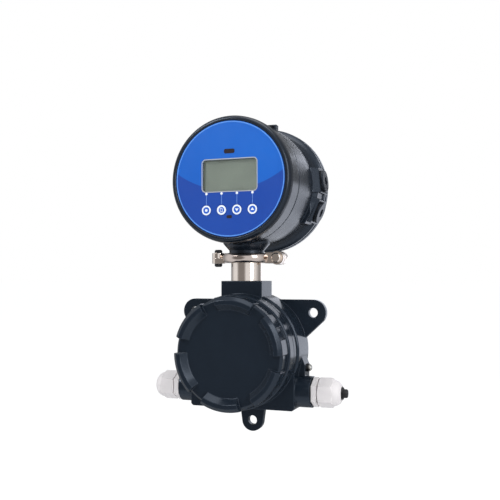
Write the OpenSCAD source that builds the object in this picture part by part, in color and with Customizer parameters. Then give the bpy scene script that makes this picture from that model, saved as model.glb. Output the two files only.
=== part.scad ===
// Remote converter of an electromagnetic flow meter, on its wall-mounted junction box.
// Millimetres. The origin is the centre of the three lug holes on the rear mounting face:
// +X to the viewer's right, +Y into the wall, +Z up.

/* [Wall mounting] */
// Diameter of the circle through the three lug holes
bolt_circle_d = 140; // [136:1:150]
// Hole in each lug
lug_hole_d = 9; // [6:0.5:11]
// End radius of the two upper lugs
lug_end_r = 12.3; // [10:0.1:14]
// End radius of the lower lug
low_lug_end_r = 10.6; // [9:0.1:12]
// Thickness of the lugs
lug_t = 6; // [4:0.5:8]

/* [Junction box] */
// Depth from the wall face to the common axis plane of stem and glands
axis_depth = 22; // [21:0.5:25]
// Outer radius of the box at the wall
box_r = 54.5; // [54:0.1:56]
// Outer radius of the box in front of its step, and of the cover's skirt
rim_r = 53; // [52.5:0.1:53.6]
// Depth of the step in the outside of the box
step_depth = 33; // [30:0.5:36]
// Depth of the box's front edge
rim_depth = 43; // [41:0.5:45]
// Radius of the box's threaded rim
thread_r = 47; // [46:0.1:48]
// Length of the box's threaded rim
thread_len = 18; // [14:1:20]
// Radius of the terminal chamber
chamber_r = 42; // [40:0.5:43]
// Thickness of the chamber's floor
floor_t = 7; // [6:0.5:9]

/* [Junction box cover] */
// Depth of the cover's flat face
cover_depth = 71; // [69:0.5:74]
// Thickness of the cover's end wall
cover_end_t = 6; // [4:0.5:7]
// Radius of the cover between its lugs
cover_front_r = 50.4; // [49.5:0.1:51.5]
// Length of the cover's skirt behind its lugs
skirt_len = 12.6; // [10:0.1:14]
// Number of wrench lugs
wrench_lugs = 6; // [4:1:6]
// Arc that each wrench lug covers, in degrees
wrench_lug_arc = 43; // [36:1:46]
// Angle of the first wrench lug's middle
wrench_lug_turn = 22; // [0:1:59]
// Height of the wrench lugs in front of the flat face
wrench_lug_h = 6; // [3:0.5:8]
// Radius of the flat face inside the wrench lugs
cover_face_r = 39.5; // [36:0.5:40]
// Width of the recess in each wrench lug's side
recess_w = 11; // [6:0.5:14]
// Depth of that recess
recess_t = 2.4; // [1:0.1:2.4]

/* [Neck and entry block] */
// Width of the square neck
neck_w = 40; // [36:0.5:42]
// Depth of the neck and of the entry block, along Y
neck_d = 30; // [28:0.5:30]
// Height of the neck's top above the lug circle's centre
neck_top = 65; // [62:0.5:70]
// Width of the lower entry block
entry_w = 102; // [98:0.5:102]
// Depth of the entry block's underside below the lug circle's centre
entry_drop = 53.5; // [52.5:0.1:56]
// Height of the gland axes, below the lug circle's centre
gland_drop = 37; // [36:0.5:38]
// Radius of the two gland bosses
boss_r = 14.5; // [13:0.1:15]
// Length of each gland boss, measured from the entry block's side
boss_len = 14; // [12:0.5:16]

/* [Cable glands] */
// Outer diameter of the gland's thread
gland_thread_d = 20; // [16:0.5:20]
// Width across flats of the gland's hexagons
gland_flats = 24; // [23:0.5:26]
// Length of the gland body's hexagon
gland_hex_len = 4.8; // [4:0.1:7]
// Gap between the gland body's hexagon and its nut
gland_gap = 0.8; // [0.6:0.1:1.6]
// Length of the nut's hexagon
gland_nut_len = 13.4; // [11:0.1:15]
// Length of the nut's dome
gland_dome_len = 7.4; // [6:0.1:9]
// Hole for the cable
cable_d = 8; // [6:0.5:9]

/* [Stem and clamp] */
// Outer diameter of the stem tube
stem_d = 29.6; // [26:0.1:29.6]
// Bore of the stem tube
stem_bore_d = 17; // [12:0.5:18]
// Height of the plane where the head's ferrule meets the stem's
joint_z = 86.6; // [84.5:0.1:88]
// Outer diameter of the two ferrules
ferrule_d = 40; // [38:0.5:40]
// Thickness of each ferrule's edge
ferrule_t = 1.6; // [1.2:0.1:1.8]
// Thickness of the clamp ring outside the ferrules
clamp_wall = 3; // [2.7:0.1:3.5]
// Height of the clamp ring
clamp_h = 8.8; // [8:0.1:9]
// Distance from the clamp ring's outside to its hinge pin
hinge_out = 6; // [5:0.1:7]
// Distance from the clamp ring's outside to its bolt
bolt_out = 8.5; // [8:0.1:10]
// Height of the clamp's hinge pin over its heads
pin_len = 16.4; // [15.6:0.1:17]
// Width across flats of the clamp's nut
bolt_flats = 12; // [11:0.5:12]

/* [Head] */
// Height of the head's neck, from the plane of the ferrules to the bottom of the round housing
neck_len = 12.1; // [11.5:0.1:15]
// From the stem axis forward to the front of the bezel
head_front = 47; // [46:0.5:50]
// From the stem axis forward to the groove between the cover and the housing
groove_front = 20; // [17:0.5:21]
// From the stem axis back to the rear cover's rim
flange_back = 60; // [58:0.5:62]
// Radius of the housing at the groove
head_r = 57.7; // [57.2:0.1:58]
// How much smaller the housing's radius is at its waist, in front of the rear rim
head_taper = 2.2; // [1.5:0.1:3]
// How far the rear cover stands out round the housing's front radius
rear_cover_out = 4.8; // [4:0.1:5.6]
// Thickness of the rear cover's rim
rear_rim_t = 8; // [7:0.5:9]
// Wall of the front electronics chamber
head_wall = 7.7; // [7.2:0.1:9]
// Wall of the rear terminal chamber inside its cover's thread
rear_wall = 6.5; // [5.5:0.5:8]
// Radius of the head's neck just above the clamp
neck_r = 16.6; // [16:0.1:18]

/* [Cable entries of the head] */
// Angle of the upper plug above the horizontal, in degrees
upper_plug_angle = 5.5; // [4:0.5:7]
// Angle of the lower plug below the horizontal, in degrees
lower_plug_angle = 22.5; // [21:0.5:24]
// From the stem axis back to the plugs
plug_back = 47; // [46:0.5:47]
// How far the seats of the two entries stand out past the housing's rear rim
pad_out = 0.2; // [0.1:0.1:0.8]
// Diameter of the plugs' heads
plug_d = 21.5; // [20:0.5:22]

/* [Dial] */
// Width of the bezel ring round the blue dial
bezel_w = 5.8; // [5.5:0.1:6.2]
// Width of the display window
window_w = 51.5; // [44:0.5:54]
// Height of the display window
window_h = 28.1; // [24:0.1:29]
// Height of the window's middle above the head's axis
window_up = 3.3; // [2.5:0.1:4]
// Corner radius of the window
window_corner_r = 3; // [2:0.1:4]
// Distance between neighbouring keys
key_pitch = 14.7; // [13:0.1:16]
// Diameter of the keys
key_d = 9; // [7:0.1:10]
// Drop of the keys' row below the head's axis
key_drop = 27.7; // [26:0.1:29]
// Travel of a key
key_travel = 0.5; // [0.3:0.1:0.6]

/* [Hidden] */
$fn = 96;

// Overrun of every cut
cut = 1;
// Running clearance between pieces that turn or slide on each other
gap = 0.3;
// Clearance of a fixed spigot in its bore
fit_gap = 0.1;
// Edge chamfer of the castings
edge = 1;
// How far a piece of a casting is sunk into the one it grows from
sink = 1.5;
// How far straight edges lie inside the rounds that they run into
tuck = 0.05;
// Step between the cover's skirt and the outside of its wrench lugs
lug_step = 1.4;
// Section of the three cover seals
seal_section = 2.2;

// Colours, as the photograph shows them
paint = [0.10, 0.12, 0.15];
steel = [0.80, 0.77, 0.74];
nylon = [0.80, 0.79, 0.77];
black_rubber = [0.05, 0.05, 0.05];
board_green = [0.05, 0.30, 0.16];
zinc = [0.70, 0.70, 0.68];

// Junction box: places derived from its sizes
lug_circle_r = bolt_circle_d / 2;
upper_lug = [lug_circle_r * cos(30), lug_circle_r * sin(30)];
// Root radii that set the slope of the lugs' edges
upper_lug_root_r = 28;
low_lug_root_r = 20;
block_front = axis_depth + neck_d / 2;
block_back = axis_depth - neck_d / 2;
chamber_end = rim_depth + thread_len;
cover_bore_r = thread_r + gap;
cover_back = rim_depth + gap;
skirt_front = cover_back + skirt_len;
lug_slope = 5;
lug_bevel = 3.4;
// Depth of each cover's seat for its seal, and how far the seat lies outside the thread
seal_seat_len = 2.4;
seal_seat_out = seal_section + fit_gap + gap;
// Pocket that joins the entries to the chamber
entry_wall = 5;
entry_roof = 20;
// Web between each gland boss and the drum
web_out = 6;
web_x = entry_w / 2 + web_out;
boss_end = entry_w / 2 + boss_len;
web_top_share = 0.1;
web_slope_h = 9;
// Threaded spigot of the stem
spigot_d = 22;
spigot_len = 14;

// Glands: places along their axis, measured out from the boss end
gland_spigot_len = 12;
gland_bore_len = 21;
gland_gasket_t = 0.8;
gland_tube_r = 9.6;
gland_seal_r = 7.4;
gland_bore_d = 12;
gland_seal_back = 9;
gland_hole_r = 6;
gland_lip_t = 2;
gland_hex_round = 1;
seal_edge = 0.5;
gland_nut_back = gland_gasket_t + gland_hex_len + gland_gap;
gland_end = gland_nut_back + gland_nut_len + gland_dome_len;
gland_tube_end = gland_nut_back + gland_nut_len - gland_hex_round;
// Outline of a dome: radius and height as shares of its own
dome_shares = [[1, 0], [0.99, 0.15], [0.95, 0.35], [0.89, 0.55], [0.79, 0.75], [0.66, 0.92], [0.55, 1]];
stopper_flange_d = 11;
stopper_flange_t = 1.6;
stopper_d = 8;
stopper_len = 5;

// Terminal blocks: pitch of the ways, height, foot width and the upper step's width
way_pitch = 6;
strip_ways = 9;
strip_h = 16;
strip_w = 24;
strip_step_w = 12;
strip_step_h = 7;
barrier_t = 1.2;
terminal_screw_d = 3.4;
terminal_screw_h = 1.6;
strip_up = 3;
strip_foot_t = 4;
ear_len = 7;
head_ways = 7;

// Small screws
fix_screw_d = 3;
fix_screw_grip = 4;
fix_head_d = 5.6;
fix_head_h = 2;
inner_screw_d = 4;
inner_head_d = 7.6;
earth_x = 22;
earth_up = 25;
earth_screw_d = 5;
earth_head_d = 6.2;
earth_head_h = 2.4;
earth_washer_d = 7.8;
earth_washer_t = 1.8;
earth_screw_len = 9;
earth_drop = 15.8;
earth_depth = 13;

// Clamp and ferrules
clamp_d = ferrule_d + 2 * clamp_wall;
hinge_x = clamp_d / 2 + hinge_out;
bolt_x = clamp_d / 2 + bolt_out;
seal_t = 1;
ferrule_slope = 20;
ferrule_rise = (ferrule_d / 2 - neck_r) * tan(ferrule_slope);
split = 1.2;
ear_t = 4.6;
ear_overlap = 3;
ear_share = 0.8;
clamp_round = 2.6;
knuckle_h = 10;
ear_r = 6.4;
bolt_d = 8;
nut_t = 6.5;
nut_dome_r = 5.9;
nut_dome_h = 3.2;
bolt_head_t = 4.2;
bolt_head_d = 9.4;
knuckle_r = 6;
pin_d = 4.6;
pin_head_d = 7.4;

// Head: its axis, and places along it measured forward from the stem axis
head_z = joint_z + head_r + neck_len;
head_gap = 1.3;
front_chamber_r = head_r - head_wall;
waist_r = head_r - head_taper;
rear_cover_r = head_r + rear_cover_out;
rear_rim_w = 13;
rear_thread_r = rear_cover_r - rear_rim_w;
rear_chamber_r = rear_thread_r - rear_wall;
dial_r = head_r - bezel_w;
head_thread_wall = 4.3;
head_thread_r = head_r - head_thread_wall;
dial_recess = 1;
membrane_t = 0.8;
plate_t = 3.4;
plate_flange_t = 2.8;
head_thread_len = 14;
rear_cover_len = 14;
flare_in = 1.5;
neck_straight_len = 7.1;
lock_screw_in = 0.4;
membrane_front = head_front - dial_recess;
plate_front = membrane_front - membrane_t;
plate_back = plate_front - plate_t;
chamber_floor = -8;
divider_t = 6;
rim_end = groove_front + head_thread_len;
flange_front = rim_end + plate_flange_t;
cover_rear = groove_front + head_gap;
rear_thread_len = 7;
rear_end = -flange_back - rear_thread_len;
rear_back = flange_back + gap;
rear_depth = flange_back + rear_cover_len;
rear_step_in = 4;
rear_front_r = rear_cover_r - rear_step_in;
rear_lug_w = 14;
rear_lug_h = 4;
rear_lug_bevel = 4;
bezel_round = 4.5;
// Outline of the bezel: how far inside the housing's radius and behind its front, as shares of its rounding
bezel_shares = [[0.05, 1.8], [0.15, 1], [0.28, 0.55], [0.5, 0.2], [0.72, 0.05], [1, 0]];
// Outline of the housing's side: share of the way back to its waist, share of the fall in radius
taper_shares = [[0, 0], [0.25, 0.1], [0.5, 0.34], [0.75, 0.68], [1, 1]];
// Outline from the waist out to the rear rim: share of the way back, share of the rise in radius
rise_shares = [[0.22, 0.01], [0.42, 0.06], [0.6, 0.17], [0.75, 0.34], [0.87, 0.56], [0.95, 0.78], [1, 1]];
waist_back = 39;
rim_t = 4;
rim_step = 0.3;
flare_r = 22.3;
flare_z = head_z - head_r + flare_in;
neck_straight_z = joint_z + neck_straight_len;
taper_start = 10;
head_bore_d = 20;
lock_screw_angle = 58;
nub_side = 34.4;
nub_top = 51.6;
nub_w = 13;
nub_h = 9;
nub_len = 7;
nub_behind = 3.5;
lock_screw_d = 3.2;
lock_screw_r = head_r - lock_screw_in;
lock_screw_len = 11;
plug_seat_r = rear_cover_r - rim_step + pad_out;
boss_step = 1.7;
pad_r = plug_seat_r - boss_step;
pad_root = 20;
pad_up = 18;
pad_down = 36;
pad_slope = 6.3;
entry_boss_r = 12;
pad_front = plug_back - entry_boss_r - pad_slope;
entry_thread_d = 18;
plug_head_t = 2.4;
plug_seal_t = 0.8;
plug_shank_len = 10;
plug_socket_flats = 8;
plug_socket_t = 1.2;

// Behind the dial
board_gap = 4;
board_r = front_chamber_r - board_gap;
board_t = 1.6;
lcd_room = 7.2;
display_board_front = plate_back - lcd_room;
main_board_front = 9.6;
switch_w = 6;
switch_h = 3.5;
switch_button_d = 3.4;
key_flange_w = 1.1;
key_flange_t = 0.8;
key_proud = 0.2;
key_gap = 0.3;
lcd_frame_w = 62;
lcd_frame_h = 40;
lcd_glass_w = 55;
lcd_glass_h = 31;
lcd_glass_t = 1.2;
lens_flange_t = 1.6;
lens_rim = 1.2;
slot_w = 10;
slot_h = 3.9;
slot_up = 24.7;
sensor_w = 5;
sensor_h = 2.7;
sensor_drop = 33.9;
standoff_d = 6;
standoff_x_share = 0.72;
standoff_y_share = 0.56;

// Turns a drawing so that its z runs out of the wall, towards the viewer
module facing_front() {
    rotate([90, 0, 0]) children();
}

// The head's own frame: z forward along its axis, from the stem axis
module in_head() {
    translate([0, -axis_depth, head_z]) facing_front() children();
}

// The stem's own frame: z up along the stem, height as in the whole part
module on_stem() {
    translate([0, -axis_depth, 0]) children();
}

// A gland's own frame: z outward from the end of its boss
module at_gland(side) {
    translate([side * boss_end, -axis_depth, -gland_drop]) rotate([0, side * 90, 0]) children();
}

module ring(outer_r, inner_r, h) {
    difference() {
        cylinder(r = outer_r, h = h);
        translate([0, 0, -cut]) cylinder(r = inner_r, h = h + 2 * cut);
    }
}

module hexagon_bar(flats, h) {
    cylinder(d = flats / cos(30), h = h, $fn = 6);
}

module o_ring(inner_r) {
    rotate_extrude() translate([inner_r + seal_section / 2, 0]) circle(d = seal_section, $fn = 32);
}

// Flat arm between a circle at the origin and one at p; its straight edges lie a tuck inside the tangents
module tangent_arm(p, root_r, end_r) {
    reach = norm(p);
    turn = atan2(p[1], p[0]);
    lean = asin((root_r - end_r) / reach);
    up = [sin(lean), cos(lean)];
    down = [sin(lean), -cos(lean)];
    rotate(turn) {
        polygon([(root_r - tuck) * up, (root_r - tuck) * down, [reach, 0] + (end_r - tuck) * down,
            [reach, 0] + (end_r - tuck) * up]);
        circle(r = root_r);
        translate([reach, 0]) circle(r = end_r);
    }
}

module rounded_rect(w, h, r) {
    square([w - 2 * r, h], center = true);
    square([w, h - 2 * r], center = true);
    for (x = [-1, 1], y = [-1, 1]) translate([x * (w / 2 - r), y * (h / 2 - r)]) circle(r = r, $fn = 32);
}

// Junction box

module lug_outline() {
    for (side = [-1, 1]) tangent_arm([side * upper_lug[0], upper_lug[1]], upper_lug_root_r, lug_end_r);
    translate([-upper_lug[0], upper_lug[1]]) square([2 * upper_lug[0], lug_end_r - tuck]);
    tangent_arm([0, -lug_circle_r], low_lug_root_r, low_lug_end_r);
}

module drum_profile() {
    polygon([[0, 0], [box_r, 0], [box_r, step_depth - edge], [rim_r, step_depth], [rim_r, rim_depth],
        [thread_r, rim_depth], [thread_r, chamber_end - edge], [thread_r - edge, chamber_end],
        [0, chamber_end]]);
}

module entry_outline() {
    w = entry_w / 2;
    polygon([[-w, 0], [-w, -entry_drop + 2 * edge], [-w + 2 * edge, -entry_drop],
        [w - 2 * edge, -entry_drop], [w, -entry_drop + 2 * edge], [w, 0]]);
}

module web_outline() {
    top = -web_top_share * gland_drop;
    polygon([[entry_w / 2 - edge, -gland_drop], [web_x, -gland_drop], [web_x, top - web_slope_h],
        [box_r - edge, top], [entry_w / 2 - edge, top]]);
}

module box_body() {
    color(paint) difference() {
        union() {
            facing_front() {
                linear_extrude(lug_t) lug_outline();
                rotate_extrude() drum_profile();
                translate([0, 0, block_back]) linear_extrude(neck_d) intersection() {
                    entry_outline();
                    translate([-entry_w / 2, -entry_drop]) square([entry_w, entry_drop - gland_drop / 2]);
                }
                for (side = [0, 1]) mirror([side, 0, 0]) translate([0, 0, lug_t])
                    linear_extrude(axis_depth - lug_t) web_outline();
            }
            translate([-neck_w / 2, -block_front, chamber_r]) cube([neck_w, neck_d, neck_top - chamber_r]);
            for (side = [-1, 1]) at_gland(side)
                translate([0, 0, entry_w / 2 - boss_end - edge])
                    cylinder(r = boss_r, h = boss_end - entry_w / 2 + edge);
        }
        facing_front() {
            translate([0, 0, floor_t]) cylinder(r = chamber_r, h = chamber_end - floor_t + cut);
            translate([-entry_w / 2 + entry_wall, -entry_drop + entry_wall, block_back + entry_wall])
                cube([entry_w - 2 * entry_wall, entry_drop - entry_wall - entry_roof, neck_d - 2 * entry_wall]);
            for (p = [upper_lug, [-upper_lug[0], upper_lug[1]], [0, -lug_circle_r]])
                translate([p[0], p[1], -cut]) cylinder(d = lug_hole_d, h = lug_t + 2 * cut);
            translate([earth_x, earth_up, floor_t - fix_screw_grip - fit_gap])
                cylinder(d = inner_screw_d + 2 * fit_gap, h = fix_screw_grip + cut);
        }
        strip_place() at_ears(strip_ways) translate([0, 0, -fix_screw_grip - fit_gap])
            cylinder(d = fix_screw_d + 2 * fit_gap, h = fix_screw_grip + cut);
        on_stem() {
            translate([0, 0, neck_top - spigot_len - fit_gap])
                cylinder(d = spigot_d + 2 * fit_gap, h = spigot_len + cut);
            translate([0, 0, chamber_r / 2]) cylinder(d = stem_bore_d, h = neck_top - chamber_r / 2);
        }
        for (side = [-1, 1]) at_gland(side) translate([0, 0, -gland_bore_len])
            cylinder(d = gland_thread_d + 2 * fit_gap, h = gland_bore_len + cut);
        at_earth_screw() translate([0, 0, -earth_screw_len - cut])
            cylinder(d = earth_screw_d + 2 * fit_gap, h = earth_screw_len + 2 * cut);
    }
}

module wrench_lug_profile(base, face_r, tip, top_r, outer_r, back) {
    slope = (top_r - face_r) / (tip - base);
    polygon([[face_r - slope * sink, base - sink], [top_r, tip], [outer_r - lug_bevel, tip],
        [outer_r, tip - lug_bevel], [outer_r, back], [cover_front_r - sink, back],
        [cover_front_r - sink, base - sink]]);
}

module box_cover() {
    color(paint) facing_front() difference() {
        union() {
            rotate_extrude() polygon([[0, cover_depth - cover_end_t], [cover_bore_r, cover_depth - cover_end_t],
                [cover_bore_r, cover_back + seal_seat_len + edge], [thread_r + seal_seat_out, cover_back
                + seal_seat_len], [thread_r + seal_seat_out, cover_back], [rim_r, cover_back],
                [rim_r, skirt_front - edge],
                [rim_r - edge, skirt_front], [cover_front_r, skirt_front],
                [cover_front_r, cover_depth - 2 * edge], [cover_front_r - 2 * edge, cover_depth],
                [0, cover_depth]]);
            for (k = [0 : wrench_lugs - 1]) rotate([0, 0, wrench_lug_turn + k * 360 / wrench_lugs
                    - wrench_lug_arc / 2])
                rotate_extrude(angle = wrench_lug_arc) wrench_lug_profile(cover_depth, cover_face_r,
                    cover_depth + wrench_lug_h, cover_face_r + lug_slope, rim_r - lug_step, skirt_front - 2 * edge);
        }
        for (k = [0 : wrench_lugs - 1]) rotate([0, 0, wrench_lug_turn + k * 360 / wrench_lugs])
            translate([rim_r - recess_t, -recess_w / 2, skirt_front + 2 * edge])
                cube([recess_t + cut, recess_w, cover_depth - skirt_front]);
    }
}

module box_cover_seal() {
    color(black_rubber) facing_front() translate([0, 0, rim_depth + seal_section / 2 + fit_gap])
        o_ring(thread_r + fit_gap);
}

// Terminal block with one barrier more than it has ways; z is its height above its seat
module terminal_block(ways) {
    w = ways * way_pitch;
    difference() {
        union() {
            translate([-w / 2 - barrier_t, -strip_w / 2, 0]) cube([w + 2 * barrier_t, strip_w, strip_h - strip_step_h]);
            translate([-w / 2 - barrier_t, -strip_step_w / 2, 0]) cube([w + 2 * barrier_t, strip_step_w, strip_h]);
            for (k = [0 : ways]) translate([(k - ways / 2) * way_pitch - barrier_t / 2, -strip_w / 2, 0])
                cube([barrier_t, strip_w, strip_h - strip_step_h / 2]);
        }
        for (k = [0 : ways - 1], side = [-1, 1]) translate([(k - (ways - 1) / 2) * way_pitch,
                side * (strip_w + strip_step_w) / 4, strip_h - strip_step_h - 2 * terminal_screw_h])
            cylinder(d = terminal_screw_d + 2 * fit_gap, h = strip_h);
    }
}

module terminal_block_screws(ways) {
    for (k = [0 : ways - 1], side = [-1, 1]) translate([(k - (ways - 1) / 2) * way_pitch,
            side * (strip_w + strip_step_w) / 4, strip_h - strip_step_h - 2 * terminal_screw_h])
        difference() {
            cylinder(d = terminal_screw_d, h = 2 * terminal_screw_h);
            translate([-terminal_screw_d, -terminal_screw_d / 10, terminal_screw_h])
                cube([2 * terminal_screw_d, terminal_screw_d / 5, 2 * terminal_screw_h]);
        }
}

module terminal_strip() {
    color(black_rubber) strip_place() difference() {
        union() {
            terminal_block(strip_ways);
            terminal_ears(strip_ways);
        }
        ear_holes(strip_ways);
    }
}

// Places of the two fixing screws beside a terminal block
module at_ears(ways) {
    for (side = [-1, 1]) translate([side * (ways * way_pitch / 2 + ear_len / 2 + barrier_t), 0, 0]) children();
}

module terminal_ears(ways) {
    at_ears(ways) translate([-ear_len / 2 - barrier_t, -strip_step_w / 2, 0])
        cube([ear_len + 2 * barrier_t, strip_step_w, strip_foot_t]);
}

module ear_holes(ways) {
    at_ears(ways) translate([0, 0, -cut]) cylinder(d = fix_screw_d + 2 * fit_gap, h = strip_foot_t + 2 * cut);
}

// Pan head screw: its head's underside lies at z = 0
module pan_screw(shank_d, shank_len, head_d, head_h) {
    difference() {
        union() {
            translate([0, 0, -shank_len]) cylinder(d = shank_d, h = shank_len);
            cylinder(d = head_d, h = head_h / 2);
            translate([0, 0, head_h / 2]) cylinder(d1 = head_d, d2 = head_d - head_h, h = head_h / 2);
        }
        translate([-head_d, -head_d / 12, head_h / 2]) cube([2 * head_d, head_d / 6, head_h]);
    }
}

module strip_place() {
    facing_front() translate([0, strip_up, floor_t]) children();
}

module terminal_screws() {
    color(zinc) strip_place() terminal_block_screws(strip_ways);
}

module strip_screws() {
    color(zinc) strip_place() at_ears(strip_ways) translate([0, 0, strip_foot_t])
        pan_screw(fix_screw_d, strip_foot_t + fix_screw_grip, fix_head_d, fix_head_h);
}

module inner_earth_screw() {
    color(zinc) facing_front() translate([earth_x, earth_up, floor_t])
        pan_screw(inner_screw_d, fix_screw_grip, inner_head_d, fix_head_h);
}

module at_earth_screw() {
    translate([web_x, -earth_depth, -earth_drop]) rotate([0, 90, 0]) children();
}

module earth_screw() {
    color(zinc) at_earth_screw() translate([0, 0, earth_washer_t])
        pan_screw(earth_screw_d, earth_screw_len + earth_washer_t, earth_head_d, earth_head_h);
}

module earth_washer() {
    color(zinc) at_earth_screw() ring(earth_washer_d / 2, earth_screw_d / 2 + fit_gap, earth_washer_t);
}

// Cable glands

module gland_body(side) {
    color(nylon) at_gland(side) difference() {
        union() {
            translate([0, 0, -gland_spigot_len]) cylinder(d = gland_thread_d, h = gland_spigot_len + gland_gasket_t);
            translate([0, 0, gland_gasket_t]) hexagon_bar(gland_flats, gland_hex_len);
            translate([0, 0, gland_gasket_t]) cylinder(r = gland_tube_r, h = gland_tube_end - gland_gasket_t);
        }
        translate([0, 0, -gland_spigot_len - cut])
            cylinder(d = gland_bore_d, h = gland_spigot_len + gland_seal_back + 2 * cut);
        translate([0, 0, gland_seal_back]) cylinder(r = gland_seal_r + fit_gap, h = gland_tube_end);
    }
}

module gland_gasket(side) {
    color(black_rubber) at_gland(side) ring(gland_flats / 2, gland_thread_d / 2 + fit_gap, gland_gasket_t);
}

module gland_seal(side) {
    color(black_rubber) at_gland(side) translate([0, 0, gland_seal_back]) rotate_extrude()
        polygon([[cable_d / 2, 0], [gland_seal_r, 0], [gland_seal_r, gland_tube_end - gland_seal_back],
            [gland_hole_r, gland_end - gland_seal_back - gland_lip_t],
            [gland_hole_r - seal_edge, gland_end - gland_seal_back - seal_edge],
            [cable_d / 2, gland_end - gland_seal_back - seal_edge]]);
}

// Nut: hexagon with a domed end, hollow inside
module gland_nut(side) {
    color(nylon) at_gland(side) difference() {
        union() {
            translate([0, 0, gland_nut_back]) intersection() {
                hexagon_bar(gland_flats, gland_nut_len + gland_hex_round);
                rotate_extrude() polygon([[0, 0], [gland_flats / 2, 0],
                    [gland_flats / cos(30) / 2, gland_hex_round], [gland_flats / cos(30) / 2, gland_nut_len
                    - gland_hex_round], [gland_flats / 2 - gland_hex_round, gland_nut_len + gland_hex_round],
                    [0, gland_nut_len + gland_hex_round]]);
            }
            translate([0, 0, gland_nut_back + gland_nut_len]) rotate_extrude()
                polygon(concat([[0, 0]], [for (s = dome_shares) [s[0] * gland_flats / 2, s[1] * gland_dome_len]],
                    [[0, gland_dome_len]]));
        }
        translate([0, 0, gland_nut_back - cut]) cylinder(r = gland_tube_r + gap, h = gland_tube_end + gap
            - gland_nut_back + cut);
        translate([0, 0, gland_tube_end + gap - fit_gap]) cylinder(r1 = gland_tube_r + gap, r2 = gland_hole_r + gap,
            h = gland_end - gland_tube_end - gland_lip_t);
        cylinder(r = gland_hole_r + gap, h = gland_end + cut);
    }
}

module gland_stopper() {
    color(black_rubber) at_gland(1) {
        translate([0, 0, gland_seal_back]) cylinder(d = cable_d - 2 * fit_gap, h = gland_end - gland_seal_back);
        translate([0, 0, gland_end - seal_edge]) cylinder(d = stopper_flange_d, h = stopper_flange_t);
        translate([0, 0, gland_end]) cylinder(d = stopper_d, h = stopper_len - edge);
        translate([0, 0, gland_end + stopper_len - edge]) cylinder(d1 = stopper_d, d2 = stopper_d - edge, h = edge);
    }
}

module gland_body_left() { gland_body(-1); }
module gland_body_right() { gland_body(1); }
module gland_gasket_left() { gland_gasket(-1); }
module gland_gasket_right() { gland_gasket(1); }
module gland_seal_left() { gland_seal(-1); }
module gland_seal_right() { gland_seal(1); }
module gland_nut_left() { gland_nut(-1); }
module gland_nut_right() { gland_nut(1); }

// Stem and clamp

module stem_tube() {
    color(steel) on_stem() difference() {
        rotate_extrude() polygon([[0, neck_top - spigot_len], [spigot_d / 2, neck_top - spigot_len],
            [spigot_d / 2, neck_top], [stem_d / 2, neck_top],
            [stem_d / 2, joint_z - seal_t / 2 - ferrule_t - (ferrule_d - stem_d) / 2 * tan(ferrule_slope)],
            [ferrule_d / 2, joint_z - seal_t / 2 - ferrule_t], [ferrule_d / 2, joint_z - seal_t / 2],
            [0, joint_z - seal_t / 2]]);
        translate([0, 0, neck_top - spigot_len - cut]) cylinder(d = stem_bore_d, h = joint_z);
    }
}

module centring_seal() {
    color(black_rubber) on_stem() translate([0, 0, joint_z - seal_t / 2])
        ring(ferrule_d / 2 - edge, stem_bore_d / 2, seal_t - fit_gap);
}

module clamp_ring() {
    h = clamp_h / 2;
    groove_r = ferrule_d / 2 + gap;
    groove_h = ferrule_t + seal_t / 2 + gap;
    mouth_r = neck_r + 2 * gap;
    mouth_h = groove_h + (groove_r - mouth_r) * tan(ferrule_slope);
    outer = clamp_d / 2;
    rotate_extrude() polygon([[groove_r, -groove_h], [mouth_r, -mouth_h], [mouth_r, -h], [outer - clamp_round, -h],
        [outer, -h + clamp_round], [outer, h - clamp_round], [outer - clamp_round, h], [mouth_r, h],
        [mouth_r, mouth_h], [groove_r, groove_h]]);
}

// Half of the clamp on the side of +Y (side 1) or of -Y (side -1)
module clamp_half(side) {
    color(steel) on_stem() translate([0, 0, joint_z]) difference() {
        union() {
            intersection() {
                clamp_ring();
                translate([-clamp_d, side > 0 ? split / 2 : -clamp_d - split / 2, -clamp_h])
                    cube([2 * clamp_d, clamp_d, 2 * clamp_h]);
            }
            translate([0, side * (split + ear_t) / 2, 0]) rotate([90, 0, 0]) translate([0, 0, -ear_t / 2])
                linear_extrude(ear_t) {
                    translate([bolt_x, 0]) circle(r = ear_r);
                    translate([clamp_d / 2 - ear_overlap, -ear_share * ear_r])
                        square([bolt_x - clamp_d / 2 + ear_overlap, 2 * ear_share * ear_r]);
                }
            translate([-hinge_x, 0, side > 0 ? fit_gap / 2 : -knuckle_h / 2])
                cylinder(r = knuckle_r, h = knuckle_h / 2 - fit_gap / 2);
            translate([-hinge_x, side > 0 ? split / 2 : -knuckle_r, side > 0 ? fit_gap / 2 : -knuckle_h / 2])
                cube([hinge_x - clamp_d / 2 + ear_overlap, knuckle_r - split / 2, knuckle_h / 2 - fit_gap / 2]);
        }
        translate([-hinge_x, 0, -knuckle_h]) cylinder(d = pin_d + 2 * fit_gap, h = 2 * knuckle_h);
        rotate([90, 0, 0]) translate([bolt_x, 0, -clamp_d / 2]) cylinder(d = bolt_d + 2 * fit_gap, h = clamp_d);
        cylinder(r = ferrule_d / 2 + gap, h = 2 * (ferrule_t + seal_t / 2 + gap), center = true);
    }
}

module clamp_half_front() { clamp_half(-1); }
module clamp_half_rear() { clamp_half(1); }

module clamp_hinge_pin() {
    color(steel) on_stem() translate([-hinge_x, 0, joint_z]) {
        cylinder(d = pin_d, h = pin_len - edge, center = true);
        for (side = [0, 1]) mirror([0, 0, side]) {
            translate([0, 0, knuckle_h / 2]) cylinder(d = pin_head_d, h = (pin_len - knuckle_h) / 2 - edge);
            translate([0, 0, pin_len / 2 - edge]) cylinder(d1 = pin_head_d, d2 = pin_head_d - 2 * edge, h = edge);
        }
    }
}

// The clamp bolt's frame: z forward along it, from the clamp's split
module at_clamp_bolt() {
    translate([bolt_x, -axis_depth, joint_z]) facing_front() children();
}

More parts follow.
